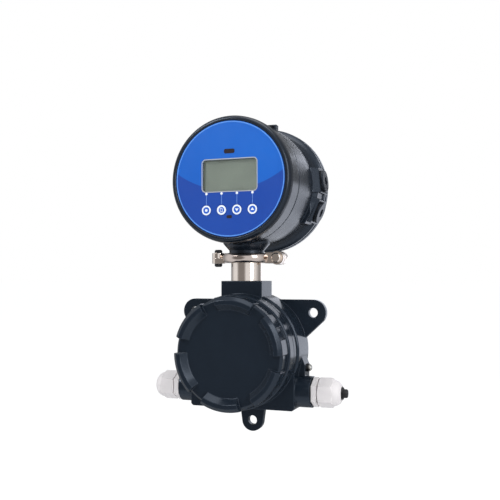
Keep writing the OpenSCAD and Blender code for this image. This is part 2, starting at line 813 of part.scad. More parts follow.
module clamp_bolt() {
    color(steel) at_clamp_bolt() {
        translate([0, 0, ear_t + split / 2]) cylinder(d = bolt_head_d, h = bolt_head_t - edge);
        translate([0, 0, ear_t + split / 2 + bolt_head_t - edge])
            cylinder(d1 = bolt_head_d, d2 = bolt_head_d - 2 * edge, h = edge);
        translate([0, 0, -ear_t - split / 2 - nut_t])
            cylinder(d = bolt_d, h = nut_t + 2 * ear_t + split + bolt_head_t / 2);
    }
}

module clamp_nut() {
    color(steel) at_clamp_bolt() rotate([180, 0, 0]) translate([0, 0, ear_t + split / 2]) difference() {
        union() {
            intersection() {
                hexagon_bar(bolt_flats, nut_t);
                cylinder(r1 = bolt_flats / cos(30) / 2, r2 = bolt_flats / 2, h = nut_t);
            }
            rotate_extrude() polygon(concat([[0, 0]], [for (s = dome_shares) [s[0] * nut_dome_r,
                nut_t + s[1] * nut_dome_h]], [[0, nut_t + nut_dome_h]]));
        }
        translate([0, 0, -cut]) cylinder(d = bolt_d + 2 * fit_gap, h = nut_t + fit_gap + cut);
    }
}

// Head

// The housing's outside falls in to a waist and rises again to its rear rim
module housing_outline() {
    polygon(concat([[0, rim_end], [head_thread_r - edge, rim_end], [head_thread_r, rim_end - edge],
        [head_thread_r, groove_front], [head_r, groove_front]],
        [for (s = taper_shares) [head_r - s[1] * (head_r - waist_r),
            -taper_start - s[0] * (waist_back - taper_start)]],
        [for (s = rise_shares) [waist_r + s[1] * (rear_cover_r - rim_step - waist_r),
            -waist_back - s[0] * (flange_back - rim_t - waist_back)]],
        [[rear_cover_r - rim_step, -flange_back], [rear_thread_r, -flange_back],
        [rear_thread_r, rear_end + edge], [rear_thread_r - edge, rear_end], [0, rear_end]]));
}

// Base of the two entries, sloped towards the front
module entry_pad() {
    intersection() {
        translate([0, 0, -flange_back + 2 * gap]) linear_extrude(flange_back - pad_front) intersection() {
            translate([pad_root, -pad_down]) square([pad_r, pad_up + pad_down]);
            circle(r = pad_r);
        }
        translate([0, pad_r, 0]) entry_slope(pad_r, 2 * pad_r);
    }
}

// Bar of width w whose front slopes back towards radius r
module entry_slope(r, w) {
    rotate([90, 0, 0]) linear_extrude(w) polygon([[pad_root, -flange_back + 2 * gap], [pad_root, -pad_front],
        [r - pad_slope, -pad_front], [r, -pad_front - pad_slope], [r, -flange_back + 2 * gap]]);
}

// Places of the two entries: z points out along each
module at_entry(angle) {
    in_head() rotate([0, 0, angle]) translate([plug_seat_r, 0, -plug_back]) rotate([0, 90, 0]) children();
}

module head_housing() {
    color(paint) difference() {
        union() {
            in_head() {
                rotate_extrude() housing_outline();
                entry_pad();
                for (angle = [upper_plug_angle, -lower_plug_angle]) rotate([0, 0, angle])
                    translate([0, entry_boss_r, 0]) entry_slope(plug_seat_r, 2 * entry_boss_r);
                translate([nub_side - nub_w, nub_top - nub_h, groove_front - nub_behind - nub_len])
                    cube([nub_w, nub_h, nub_len]);
            }
            intersection() {
                on_stem() rotate_extrude() polygon([[0, joint_z + seal_t / 2], [ferrule_d / 2, joint_z + seal_t / 2],
                    [ferrule_d / 2, joint_z + seal_t / 2 + ferrule_t],
                    [neck_r, joint_z + seal_t / 2 + ferrule_t + ferrule_rise], [neck_r, neck_straight_z],
                    [flare_r, flare_z], [flare_r, flare_z + head_r - front_chamber_r], [0, flare_z
                    + head_r - front_chamber_r]]);
                in_head() translate([-head_r, -head_r - head_z, groove_front - 2 * head_r])
                    cube([2 * head_r, head_r + head_z, 2 * head_r]);
            }
        }
        in_head() {
            translate([0, 0, chamber_floor]) cylinder(r = front_chamber_r, h = rim_end - chamber_floor + cut);
            translate([0, 0, rear_end - cut]) cylinder(r = rear_chamber_r, h = chamber_floor - divider_t - rear_end
                + cut);
            rotate([0, 0, lock_screw_angle]) translate([lock_screw_r, 0, groove_front - nub_behind - nub_len - cut])
                cylinder(d = lock_screw_d + 2 * fit_gap, h = nub_behind + nub_len + 2 * cut);
        }
        on_stem() translate([0, 0, joint_z - cut]) cylinder(d = head_bore_d, h = head_z - joint_z
            - front_chamber_r / 2);
        for (angle = [upper_plug_angle, -lower_plug_angle]) at_entry(angle)
            translate([0, 0, rear_chamber_r / 2 - plug_seat_r])
                cylinder(d = entry_thread_d, h = plug_seat_r - rear_chamber_r / 2 + cut);
    }
}

module front_cover() {
    color(paint) in_head() rotate_extrude() polygon(concat([[head_thread_r + seal_seat_out, cover_rear],
        [head_r, cover_rear]],
        [for (s = bezel_shares) [head_r - s[0] * bezel_round, head_front - s[1] * bezel_round]],
        [[dial_r + gap, head_front - edge], [dial_r + gap, flange_front + gap],
        [head_thread_r + gap, flange_front + gap], [head_thread_r + gap, cover_rear + seal_seat_len + edge],
        [head_thread_r + seal_seat_out, cover_rear + seal_seat_len]]));
}

module front_cover_seal() {
    color(black_rubber) in_head() translate([0, 0, groove_front + seal_section / 2 + fit_gap])
        o_ring(head_thread_r + fit_gap);
}

// Openings of the dial, a clearance wider all round where one is wanted
module dial_openings(grow) {
    translate([0, window_up]) rounded_rect(window_w + 2 * grow, window_h + 2 * grow, window_corner_r);
    at_keys() circle(d = key_d + 2 * key_gap);
    translate([0, slot_up]) rounded_rect(slot_w + 2 * grow, slot_h + 2 * grow, window_corner_r / 2);
    translate([0, -sensor_drop]) rounded_rect(sensor_w + 2 * grow, sensor_h + 2 * grow, window_corner_r / 3);
}

module at_key(k) {
    translate([(k - 1.5) * key_pitch, -key_drop, 0]) children();
}

module at_keys() {
    for (k = [0 : 3]) at_key(k) children();
}

module dial_plate() {
    color(board_green) in_head() difference() {
        rotate_extrude() polygon([[0, plate_back], [front_chamber_r - edge, plate_back], [front_chamber_r - edge, rim_end],
            [head_thread_r - gap, rim_end], [head_thread_r - gap, flange_front], [dial_r, flange_front],
            [dial_r, plate_front], [0, plate_front]]);
        translate([0, 0, plate_back - cut]) linear_extrude(plate_t + 2 * cut) dial_openings(fit_gap);
        translate([0, window_up, plate_back - cut]) linear_extrude(lens_flange_t + cut)
            rounded_rect(window_w + 2 * lens_rim + 2 * fit_gap, window_h + 2 * lens_rim + 2 * fit_gap,
                window_corner_r);
    }
}

module dial_membrane() {
    color([0.10, 0.40, 0.80]) in_head() translate([0, 0, plate_front]) linear_extrude(membrane_t) difference() {
        circle(r = dial_r);
        dial_openings(fit_gap);
    }
}

module display_lens() {
    color([0.8, 0.9, 0.9, 0.4]) in_head() translate([0, window_up, 0]) {
        translate([0, 0, plate_back]) linear_extrude(plate_t) rounded_rect(window_w, window_h, window_corner_r);
        translate([0, 0, plate_back])
            linear_extrude(lens_flange_t) rounded_rect(window_w + 2 * lens_rim, window_h + 2 * lens_rim,
                window_corner_r);
    }
}

module lcd_frame() {
    color(zinc) in_head() translate([0, window_up, display_board_front]) difference() {
        translate([-lcd_frame_w / 2, -lcd_frame_h / 2, 0])
            cube([lcd_frame_w, lcd_frame_h, plate_back - gap - display_board_front]);
        translate([-lcd_glass_w / 2 - fit_gap, -lcd_glass_h / 2 - fit_gap, plate_back - gap - display_board_front
            - lcd_glass_t])
            cube([lcd_glass_w + 2 * fit_gap, lcd_glass_h + 2 * fit_gap, lcd_glass_t + cut]);
    }
}

module lcd_glass() {
    color([0.5, 0.6, 0.5]) in_head() translate([-lcd_glass_w / 2, window_up - lcd_glass_h / 2,
            plate_back - gap - lcd_glass_t])
        cube([lcd_glass_w, lcd_glass_h, lcd_glass_t]);
}

module display_board() {
    color(board_green) in_head() translate([0, 0, display_board_front - board_t]) cylinder(r = board_r, h = board_t);
}

module key_switches() {
    color(black_rubber) in_head() translate([0, 0, display_board_front]) at_keys() {
        translate([-switch_w / 2, -switch_w / 2, 0]) cube([switch_w, switch_w, switch_h]);
        cylinder(d = switch_button_d, h = plate_back - key_flange_t - key_travel - fit_gap - display_board_front);
    }
}

module dial_key(k) {
    color(paint) in_head() at_key(k) {
        translate([0, 0, plate_back - key_flange_t]) cylinder(d = key_d, h = membrane_front + key_proud - plate_back
            + key_flange_t);
        translate([0, 0, plate_back - key_flange_t])
            cylinder(r = key_d / 2 + key_flange_w, h = key_flange_t);
    }
}

module key_enter() { dial_key(0); }
module key_page() { dial_key(1); }
module key_down() { dial_key(2); }
module key_up() { dial_key(3); }

module infrared_window() {
    color(black_rubber) in_head() translate([0, slot_up, plate_back]) linear_extrude(plate_t + membrane_t)
        rounded_rect(slot_w, slot_h, window_corner_r / 2);
}

module light_sensor() {
    color(black_rubber) in_head() translate([0, -sensor_drop, plate_back]) linear_extrude(plate_t + membrane_t)
        rounded_rect(sensor_w, sensor_h, window_corner_r / 3);
}

module main_board() {
    color(board_green) in_head() translate([0, 0, main_board_front - board_t]) cylinder(r = board_r, h = board_t);
}

module board_standoffs() {
    color(zinc) in_head() for (x = [-1, 1], y = [-1, 1]) translate([x * standoff_x_share * board_r,
            y * standoff_y_share * board_r, 0]) {
        translate([0, 0, chamber_floor]) cylinder(d = standoff_d, h = main_board_front - board_t - chamber_floor,
            $fn = 6);
        translate([0, 0, main_board_front]) cylinder(d = standoff_d, h = display_board_front - board_t
            - main_board_front, $fn = 6);
    }
}

module head_block_place() {
    in_head() translate([0, 0, chamber_floor - divider_t]) rotate([0, 180, 0]) children();
}

module head_terminal_block() {
    color(black_rubber) head_block_place() difference() {
        union() {
            terminal_block(head_ways);
            terminal_ears(head_ways);
        }
        ear_holes(head_ways);
    }
}

module head_terminal_screws() {
    color(zinc) head_block_place() {
        terminal_block_screws(head_ways);
        at_ears(head_ways) translate([0, 0, strip_foot_t])
            pan_screw(fix_screw_d, strip_foot_t, fix_head_d, fix_head_h);
    }
}

module rear_cover() {
    color(paint) in_head() mirror([0, 0, 1]) difference() {
        union() {
            rotate_extrude() polygon([[0, rear_depth - cover_end_t], [rear_thread_r + gap, rear_depth - cover_end_t],
                [rear_thread_r + gap, rear_back + seal_seat_len + edge],
                [rear_thread_r + seal_seat_out, rear_back + seal_seat_len],
                [rear_thread_r + seal_seat_out, rear_back], [rear_cover_r - 2 * edge, rear_back],
                [rear_cover_r, rear_back + 2 * edge],
                [rear_cover_r, rear_back + rear_rim_t - edge], [rear_cover_r - edge, rear_back + rear_rim_t],
                [rear_front_r, rear_back + rear_rim_t],
                [rear_front_r, rear_depth - 2 * edge], [rear_front_r - 2 * edge, rear_depth], [0, rear_depth]]);
            for (k = [0 : wrench_lugs - 1]) rotate([0, 0, wrench_lug_turn + k * 360 / wrench_lugs
                    - wrench_lug_arc / 2])
                rotate_extrude(angle = wrench_lug_arc) polygon([[rear_front_r - rear_lug_w, rear_depth - sink],
                    [rear_front_r - rear_lug_w, rear_depth + rear_lug_h],
                    [rear_cover_r - 2 * edge - rear_lug_bevel, rear_depth + rear_lug_h],
                    [rear_cover_r - 2 * edge, rear_depth - edge],
                    [rear_cover_r - 2 * edge, rear_back + rear_rim_t - sink],
                    [rear_front_r - sink, rear_back + rear_rim_t - sink], [rear_front_r - sink, rear_depth - sink]]);
        }
    }
}

module rear_cover_seal() {
    color(black_rubber) in_head() mirror([0, 0, 1]) translate([0, 0, flange_back + seal_section / 2 + fit_gap])
        o_ring(rear_thread_r + fit_gap);
}

module cover_lock_screw() {
    color(zinc) in_head() rotate([0, 0, lock_screw_angle]) translate([lock_screw_r, 0, 0]) difference() {
        translate([0, 0, cover_rear - gap - lock_screw_len]) cylinder(d = lock_screw_d, h = lock_screw_len);
        translate([0, 0, cover_rear - gap - lock_screw_len - cut])
            hexagon_bar(lock_screw_d / 2, lock_screw_d / 2 + cut);
    }
}

module blind_plug(angle) {
    color(paint) at_entry(angle) difference() {
        union() {
            translate([0, 0, -plug_shank_len])
                cylinder(d = entry_thread_d - 2 * fit_gap, h = plug_shank_len + plug_seal_t);
            translate([0, 0, plug_seal_t]) cylinder(d = plug_d, h = plug_head_t - edge / 2);
            translate([0, 0, plug_seal_t + plug_head_t - edge / 2]) cylinder(d1 = plug_d, d2 = plug_d - edge,
                h = edge / 2);
        }
        translate([0, 0, plug_seal_t + plug_head_t - plug_socket_t]) hexagon_bar(plug_socket_flats, plug_head_t);
    }
}

module blind_plug_upper() { blind_plug(upper_plug_angle); }
module blind_plug_lower() { blind_plug(-lower_plug_angle); }

module plug_seals() {
    color(black_rubber) for (angle = [upper_plug_angle, -lower_plug_angle]) at_entry(angle)
        ring(plug_d / 2 - edge / 2, entry_thread_d / 2 + fit_gap / 2, plug_seal_t);
}

head_housing();
front_cover();
front_cover_seal();
dial_plate();
dial_membrane();
display_lens();
lcd_frame();
lcd_glass();
display_board();
key_switches();
key_enter();
key_page();
key_down();
key_up();
infrared_window();
light_sensor();
main_board();
board_standoffs();
head_terminal_block();
head_terminal_screws();
rear_cover();
rear_cover_seal();
cover_lock_screw();
blind_plug_upper();
blind_plug_lower();
plug_seals();
stem_tube();
centring_seal();
clamp_half_front();
clamp_half_rear();
clamp_hinge_pin();
clamp_bolt();
clamp_nut();
box_body();
box_cover();
box_cover_seal();
terminal_strip();
terminal_screws();
strip_screws();
inner_earth_screw();
earth_screw();
earth_washer();
gland_body_left();
gland_gasket_left();
gland_seal_left();
gland_nut_left();
gland_body_right();
gland_gasket_right();
gland_seal_right();
gland_nut_right();
gland_stopper();
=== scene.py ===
# Looks of the flow meter's remote converter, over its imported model

import math

import bmesh
import bpy
from mathutils import Matrix, Vector


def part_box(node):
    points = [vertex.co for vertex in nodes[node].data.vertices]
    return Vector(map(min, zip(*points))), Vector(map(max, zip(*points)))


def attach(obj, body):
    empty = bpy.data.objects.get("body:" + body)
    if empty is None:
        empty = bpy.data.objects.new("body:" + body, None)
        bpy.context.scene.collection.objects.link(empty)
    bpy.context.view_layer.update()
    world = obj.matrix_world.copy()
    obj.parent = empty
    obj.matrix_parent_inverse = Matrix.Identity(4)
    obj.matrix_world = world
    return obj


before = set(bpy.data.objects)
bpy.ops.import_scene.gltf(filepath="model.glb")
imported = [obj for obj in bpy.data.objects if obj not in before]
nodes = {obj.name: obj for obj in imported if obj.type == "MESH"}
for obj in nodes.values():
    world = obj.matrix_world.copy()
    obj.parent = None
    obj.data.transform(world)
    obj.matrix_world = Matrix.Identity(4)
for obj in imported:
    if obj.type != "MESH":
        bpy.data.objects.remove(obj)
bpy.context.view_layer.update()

MM = 0.001


# Places read from the solids, in millimetres

def middle(node, axis):
    """Middle of a solid along an axis, to a hundredth."""
    low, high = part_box(node)
    return round((low[axis] + high[axis]) / 2 / MM, 2)


def front(node):
    """Where a solid's front lies along Y, to a hundredth."""
    return round(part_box(node)[0].y / MM, 2)


STEM_Y = middle("stem_tube", 1)
HEAD_Z = middle("dial_membrane", 2)
DIAL_Y = front("dial_membrane")
KEY_Y = front("key_enter")
CLAMP_Z = middle("clamp_half_front", 2)
GLAND_Z = middle("gland_body_right", 2)


# Materials: every surface is a small network of procedural nodes

def srgb(r, g, b):
    """Linear colour of screen values from 0 to 255."""
    out = []
    for c in (r, g, b):
        c = c / 255
        out.append(c / 12.92 if c <= 0.04045 else ((c + 0.055) / 1.055) ** 2.4)
    return out + [1.0]


class Wiring:
    """A node tree with short ways to add nodes and join them."""

    def __init__(self, tree):
        self.tree = tree

    def feed(self, slot, value):
        """Joins another node's output to the slot, or sets the slot to a constant."""
        if isinstance(value, bpy.types.NodeSocket):
            self.tree.links.new(value, slot)
        else:
            slot.default_value = value

    def add(self, kind, inputs=None, **attributes):
        node = self.tree.nodes.new(kind)
        for name, value in attributes.items():
            setattr(node, name, value)
        for name, value in (inputs or {}).items():
            self.feed(node.inputs[name], value)
        return node

    def math(self, operation, *values):
        return self.add("ShaderNodeMath", dict(enumerate(values)), operation=operation).outputs[0]

    def ranged(self, value, start, stop, low=0.0, high=1.0):
        """Low up to start, high from stop on, and a straight ramp between."""
        limits = {"From Min": start, "From Max": stop, "To Min": low, "To Max": high}
        return self.add("ShaderNodeMapRange", {"Value": value, **limits}).outputs["Result"]


class Surface(Wiring):
    """A material with its principled shader, ready to be wired."""

    NOISE_MIDDLE = (0.25, 0.75)
    COLOUR_SCALE = 60.0
    ROUGH_SCALE = 90.0
    RELIEF_DEPTH = 0.0001

    def __init__(self, name):
        self.mat = bpy.data.materials.new(name)
        self.mat.use_nodes = True
        super().__init__(self.mat.node_tree)
        self.bsdf = self.tree.nodes["Principled BSDF"]
        self.place = self.add("ShaderNodeTexCoord").outputs["Object"]

    def set(self, name, value):
        self.feed(self.bsdf.inputs[name], value)

    def noise(self, scale, detail=3.0):
        return self.add("ShaderNodeTexNoise",
                        {"Scale": scale, "Detail": detail, "Vector": self.place}).outputs["Fac"]

    def spread(self, noise, low=0.0, high=1.0):
        return self.ranged(noise, *self.NOISE_MIDDLE, low, high)

    def mix(self, factor, a, b):
        return self.add("ShaderNodeMix", {0: factor, 6: a, 7: b}, data_type="RGBA").outputs[2]

    def colour(self, base, vary):
        dark = [c * (1 - vary) for c in base[:3]] + [1.0]
        light = [min(1.0, c * (1 + vary)) for c in base[:3]] + [1.0]
        self.set("Base Color", self.mix(self.spread(self.noise(self.COLOUR_SCALE)), dark, light))

    def roughness(self, low, high):
        self.set("Roughness", self.spread(self.noise(self.ROUGH_SCALE, 4.0), low, high))

    def relief(self, scale, strength, edge=0.0):
        """Fine grain, and edges that look rounded with the radius `edge`, in metres."""
        inputs = {"Strength": strength, "Distance": self.RELIEF_DEPTH, "Height": self.noise(scale, 2.0)}
        if edge:
            inputs["Normal"] = self.add("ShaderNodeBevel", {"Radius": edge}, samples=12).outputs["Normal"]
        self.set("Normal", self.add("ShaderNodeBump", inputs).outputs["Normal"])


def surface(name, base, rough, metal=0.0, vary=0.06, grain=0.0, grain_scale=900.0, edge=0.0,
            sheen=None, ior=1.5):
    """Plain material: colour that varies a little, roughness between two values, grain, soft edges."""
    s = Surface(name)
    s.colour(base, vary)
    s.roughness(*rough)
    s.set("Metallic", metal)
    s.set("IOR", ior)
    if sheen:
        s.set("Specular Tint", sheen)
    if grain or edge:
        s.relief(grain_scale, grain, edge)
    return s.mat


PAINT_SHEEN = (0.74, 0.84, 1.0, 1.0)
paint = surface("paint", srgb(24, 32, 41), (0.13, 0.19), grain=0.03, grain_scale=420.0, edge=0.0012,
                sheen=PAINT_SHEEN, ior=1.44)
paint_satin = surface("paint_satin", srgb(20, 27, 36), (0.26, 0.29), edge=0.0016, sheen=PAINT_SHEEN)
paint_smooth = surface("paint_smooth", srgb(16, 22, 30), (0.2, 0.23), grain=0.015, grain_scale=400.0,
                       edge=0.0016, sheen=PAINT_SHEEN)
plug_paint = surface("plug_paint", srgb(16, 20, 27), (0.3, 0.4), grain=0.1, edge=0.0004,
                     sheen=PAINT_SHEEN)
stainless = surface("stainless", srgb(240, 227, 215), (0.1, 0.17), metal=1.0, grain=0.05,
                    grain_scale=400.0, edge=0.0004)
# The clamp's rounds are the same stainless as the clamp halves, made darker and browner: this darkening is
# painted shade standing in for their duller reflections
clamp_steel_painted_shade = surface("clamp_steel_painted_shade", srgb(212, 197, 187), (0.1, 0.16), metal=1.0, grain=0.05,
                      grain_scale=400.0)
plated = surface("plated", srgb(205, 203, 196), (0.24, 0.34), metal=1.0, grain=0.1, edge=0.0002)
black_steel = surface("black_steel", srgb(30, 30, 32), (0.35, 0.45), metal=0.6, grain=0.1)
dark_steel = surface("dark_steel", srgb(70, 70, 72), (0.35, 0.45), metal=1.0, grain=0.1)
nylon = surface("nylon", srgb(229, 224, 223), (0.36, 0.44), grain=0.1, grain_scale=1200.0, edge=0.0006)
rubber = surface("rubber", srgb(22, 22, 23), (0.55, 0.7), grain=0.2)
insulator = surface("insulator", srgb(30, 30, 32), (0.4, 0.5), grain=0.12, edge=0.0002)
carrier = surface("carrier", srgb(34, 35, 38), (0.4, 0.5), grain=0.1)
switch_black = surface("switch_black", srgb(28, 28, 30), (0.4, 0.5), grain=0.1)
dark_window = surface("dark_window", srgb(48, 40, 44), (0.12, 0.2), grain=0.03)
lcd_dark = surface("lcd_dark", srgb(52, 52, 50), (0.4, 0.5), grain=0.05)
lcd_grey = surface("lcd_grey", srgb(150, 156, 146), (0.35, 0.45), vary=0.04, grain=0.02)
key_blue = surface("key_blue", srgb(40, 95, 195), (0.3, 0.38), vary=0.04, grain=0.04)
white_ink = surface("white_ink", srgb(235, 240, 248), (0.35, 0.45), vary=0.02)
line_ink = surface("line_ink", srgb(120, 160, 225), (0.35, 0.45), vary=0.02)
rim_ink = surface("rim_ink", srgb(90, 150, 232), (0.3, 0.4), vary=0.03)
border_ink = surface("border_ink", srgb(178, 180, 178), (0.35, 0.45), vary=0.03)


def dial_blue(name):
    """Blue foil in two tones, with the arc between them bending up towards the sides."""
    arc_r, arc_drop, blur = 87.0, 9.8, 0.1
    s = Surface(name)
    split = s.add("ShaderNodeSeparateXYZ", {0: s.place})
    x = split.outputs["X"]
    up = s.math("SUBTRACT", split.outputs["Z"], (HEAD_Z - arc_drop + arc_r) * MM)
    reach = s.math("SQRT", s.math("ADD", s.math("MULTIPLY", x, x), s.math("MULTIPLY", up, up)))
    below = s.ranged(reach, (arc_r - blur) * MM, (arc_r + blur) * MM)
    drift = s.spread(s.noise(18.0, 1.0))
    upper = s.mix(drift, srgb(8, 92, 188), srgb(12, 99, 196))
    lower = s.mix(drift, srgb(16, 66, 158), srgb(20, 71, 163))
    s.set("Base Color", s.mix(below, upper, lower))
    s.roughness(0.32, 0.38)
    s.relief(1500.0, 0.04)
    return s.mat


def circuit(name):
    """Solder mask with faint tracks."""
    s = Surface(name)
    turned = s.add("ShaderNodeMapping", {"Vector": s.place, "Rotation": (math.pi / 2, 0.0, 0.0)})
    tracks = s.add("ShaderNodeTexBrick", {
        "Vector": turned.outputs["Vector"], "Scale": 260.0, "Mortar Size": 0.03,
        "Color1": srgb(24, 92, 52), "Color2": srgb(28, 100, 56), "Mortar": srgb(60, 130, 70)})
    s.set("Base Color", tracks.outputs["Color"])
    s.roughness(0.3, 0.42)
    return s.mat


def lens_glass(name):
    """Clear window, faintly tinted."""
    s = Surface(name)
    s.colour(srgb(242, 246, 244), 0.02)
    s.roughness(0.02, 0.05)
    s.set("Transmission Weight", 1.0)
    s.set("IOR", 1.3)
    return s.mat


foil = dial_blue("dial_foil")
board_green = circuit("board_green")
lens = lens_glass("lens")

# The solids that aren't named here are rubber
LOOKS = {
    "head_housing": paint_satin, "front_cover": paint_smooth, "rear_cover": paint_satin,
    "box_body": paint, "box_cover": paint, "blind_plug_upper": plug_paint, "blind_plug_lower": plug_paint,
    "dial_plate": carrier, "dial_membrane": foil, "display_lens": lens, "lcd_frame": lcd_dark,
    "lcd_glass": lcd_grey, "display_board": board_green, "main_board": board_green,
    "key_switches": switch_black, "infrared_window": dark_window, "light_sensor": dark_window,
    "board_standoffs": plated, "head_terminal_block": insulator, "terminal_strip": insulator,
    "head_terminal_screws": plated, "terminal_screws": plated, "strip_screws": plated,
    "inner_earth_screw": plated, "earth_screw": plated, "earth_washer": dark_steel,
    "cover_lock_screw": black_steel, "stem_tube": stainless, "clamp_half_front": stainless,
    "clamp_half_rear": stainless, "clamp_hinge_pin": dark_steel, "clamp_bolt": stainless,
    "clamp_nut": stainless, "key_enter": key_blue, "key_page": key_blue, "key_down": key_blue,
    "key_up": key_blue, "gland_body_left": nylon, "gland_body_right": nylon, "gland_nut_left": nylon,
    "gland_nut_right": nylon,
}
for name, obj in nodes.items():
    obj.data.materials.clear()
    obj.data.materials.append(LOOKS.get(name, rubber))


# Pieces that ride on the solids

def link_object(name, data):
    obj = bpy.data.objects.new(name, data)
    bpy.context.scene.collection.objects.link(obj)
    return obj


def place(name, mesh, mat, body):
    mesh.materials.append(mat)
    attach(link_object(name, mesh), body)


def place_shell(name, bm, mat, body):
    """Turns a finished bmesh into a piece."""
    bmesh.ops.recalc_face_normals(bm, faces=bm.faces)
    mesh = bpy.data.meshes.new(name)
    bm.to_mesh(mesh)
    bm.free()
    place(name, mesh, mat, body)


# Prints on the dial and on its keys: across and up from the head's axis, in millimetres

INK = 0.05


def print_on(y, name, loops, mat, body):
    """Flat print whose back lies at y: outer outlines, each with the holes that lie in it."""
    curve = bpy.data.curves.new(name, "CURVE")
    curve.dimensions = "2D"
    curve.fill_mode = "BOTH"
    curve.extrude = INK / 2 * MM
    for loop in loops:
        line = curve.splines.new("POLY")
        line.points.add(len(loop) - 1)
        for p, (across, up) in zip(line.points, loop):
            p.co = (across * MM, up * MM, 0.0, 1.0)
        line.use_cyclic_u = True
    obj = link_object(name, curve)
    centre = Vector((0.0, y - INK / 2, HEAD_Z)) * MM
    obj.matrix_world = Matrix.Translation(centre) @ Matrix.Rotation(math.pi / 2, 4, "X")
    bpy.context.view_layer.update()
    mesh = bpy.data.meshes.new_from_object(obj)
    mesh.transform(obj.matrix_world)
    bpy.data.objects.remove(obj)
    bpy.data.curves.remove(curve)
    place(name, mesh, mat, body)


def round_loop(cx, cy, r, n=64):
    turns = [2 * math.pi * k / n for k in range(n)]
    return [(cx + r * math.cos(a), cy + r * math.sin(a)) for a in turns]


def rounded_loop(cx, cy, w, h, r, n=10):
    """Outline of a rectangle with rounded corners."""
    points = []
    for qx, qy, first in ((1, 1, 0), (-1, 1, 90), (-1, -1, 180), (1, -1, 270)):
        for k in range(n + 1):
            a = math.radians(first + 90 * k / n)
            points.append((cx + qx * (w / 2 - r) + r * math.cos(a),
                           cy + qy * (h / 2 - r) + r * math.sin(a)))
    return points


RIM_LINE_R, RIM_LINE_W = 51.5, 0.9
rim_line = [round_loop(0, 0, r, 160) for r in (RIM_LINE_R, RIM_LINE_R - RIM_LINE_W)]
print_on(DIAL_Y, "dial_rim_line", rim_line, rim_ink, "head")

WINDOW_UP, WINDOW_W, WINDOW_H, WINDOW_CORNER = 3.3, 51.9, 28.5, 3.2
BORDER_W, BORDER_CORNER = 0.75, 3.9
border = [rounded_loop(0, WINDOW_UP, WINDOW_W + 2 * BORDER_W, WINDOW_H + 2 * BORDER_W, BORDER_CORNER),
          rounded_loop(0, WINDOW_UP, WINDOW_W, WINDOW_H, WINDOW_CORNER)]
print_on(DIAL_Y, "window_border", border, border_ink, "head")

# Each key has a dot under the window, a line down from it, a white ring and a mark.
# The marks' points are measured from the key's middle.
DOT_UP, DOT_R = -12.9, 1.15
LINE_TOP, LINE_END, LINE_W = -13.8, -22.6, 0.34
RING_R = 4.35
KEY_HOLES = {"enter": 3.0, "page": 2.7, "down": 3.0, "up": 3.0}
KEY_MARKS = {
    "enter": [round_loop(0, 0, 1.25, 32)],
    "page": [[(-1.5, 1.7), (0.9, 1.5), (1.3, -1.9), (-1.2, -1.6)],
             [(-1.0, 1.2), (0.5, 1.1), (0.8, -1.4), (-0.8, -1.2)]],
    "down": [[(-1.7, 0.9), (1.7, 0.9), (0.0, -1.6)]],
    "up": [[(-1.7, -0.9), (1.7, -0.9), (0.0, 1.6)]],
}
for key, mark in KEY_MARKS.items():
    x = middle("key_" + key, 0)
    up = middle("key_" + key, 2) - HEAD_Z
    left, right = x - LINE_W / 2, x + LINE_W / 2
    print_on(DIAL_Y, "dot_" + key, [round_loop(x, DOT_UP, DOT_R, 32)], white_ink, "head")
    print_on(DIAL_Y, "line_" + key,
             [[(left, LINE_TOP), (right, LINE_TOP), (right, LINE_END), (left, LINE_END)]], line_ink, "head")
    print_on(KEY_Y, "ring_" + key, [round_loop(x, up, RING_R), round_loop(x, up, KEY_HOLES[key])],
             white_ink, key + "_key")
    print_on(KEY_Y, "mark_" + key, [[(x + px, up + py) for px, py in loop] for loop in mark],
             white_ink, key + "_key")


# Threads: low ridges on the plain cylinders, inside the clearance of the covers and nuts

# Height of a ridge, how deep its feet are sunk, its half width as a share of the pitch,
# and the steps over which it fades out at its ends
THREAD_H = 0.2
THREAD_SINK = 0.15
THREAD_HALF_SHARE = 0.3
THREAD_FADE = 12
THREAD_STEPS = 72


def thread(name, body, origin, along, mat, radius, start, stop, pitch, steps_a_turn=THREAD_STEPS):
    """Ridge that winds round an axis; sizes in millimetres, origin in the object's frame."""
    turn = Vector((0, 0, 1)).rotation_difference(Vector(along)).to_matrix().to_4x4()
    world = Matrix.Translation(Vector(origin) * MM) @ turn
    bm = bmesh.new()
    steps = int((stop - start) / pitch * steps_a_turn)
    half = pitch * THREAD_HALF_SHARE
    last = None
    for k in range(steps + 1):
        a = 2 * math.pi * k / steps_a_turn
        z = start + pitch * k / steps_a_turn
        height = THREAD_H * min(1.0, k / THREAD_FADE, (steps - k) / THREAD_FADE)
        row = []
        for r, dz in ((radius - THREAD_SINK, -half), (radius + height, 0.0), (radius - THREAD_SINK, half)):
            row.append(bm.verts.new(world @ (Vector((r * math.cos(a), r * math.sin(a), z + dz)) * MM)))
        if last:
            for i in (0, 1):
                bm.faces.new((last[i], row[i], row[i + 1], last[i + 1]))
        last = row
    place_shell(name, bm, mat, body)


HEAD_AXIS = (0.0, STEM_Y, HEAD_Z)
GLAND_SEAT_X = 65.0
thread("box_rim_thread", "junction_box", (0, 0, 0), (0, -1, 0), paint,
       radius=47.0, start=47.0, stop=59.0, pitch=2.0)
thread("front_rim_thread", "head", HEAD_AXIS, (0, -1, 0), paint_satin,
       radius=53.4, start=24.6, stop=32.4, pitch=2.0)
thread("rear_rim_thread", "head", HEAD_AXIS, (0, 1, 0), paint_satin,
       radius=49.5, start=63.6, stop=65.8, pitch=1.0)
for side, way in (("left", -1), ("right", 1)):
    thread("gland_thread_" + side, "junction_box", (way * GLAND_SEAT_X, STEM_Y, GLAND_Z), (way, 0, 0), nylon,
           radius=9.6, start=7.4, stop=18.0, pitch=1.5, steps_a_turn=THREAD_STEPS // 2)


# Clamp: each half's outer face swells in one round, over the ring's bevels

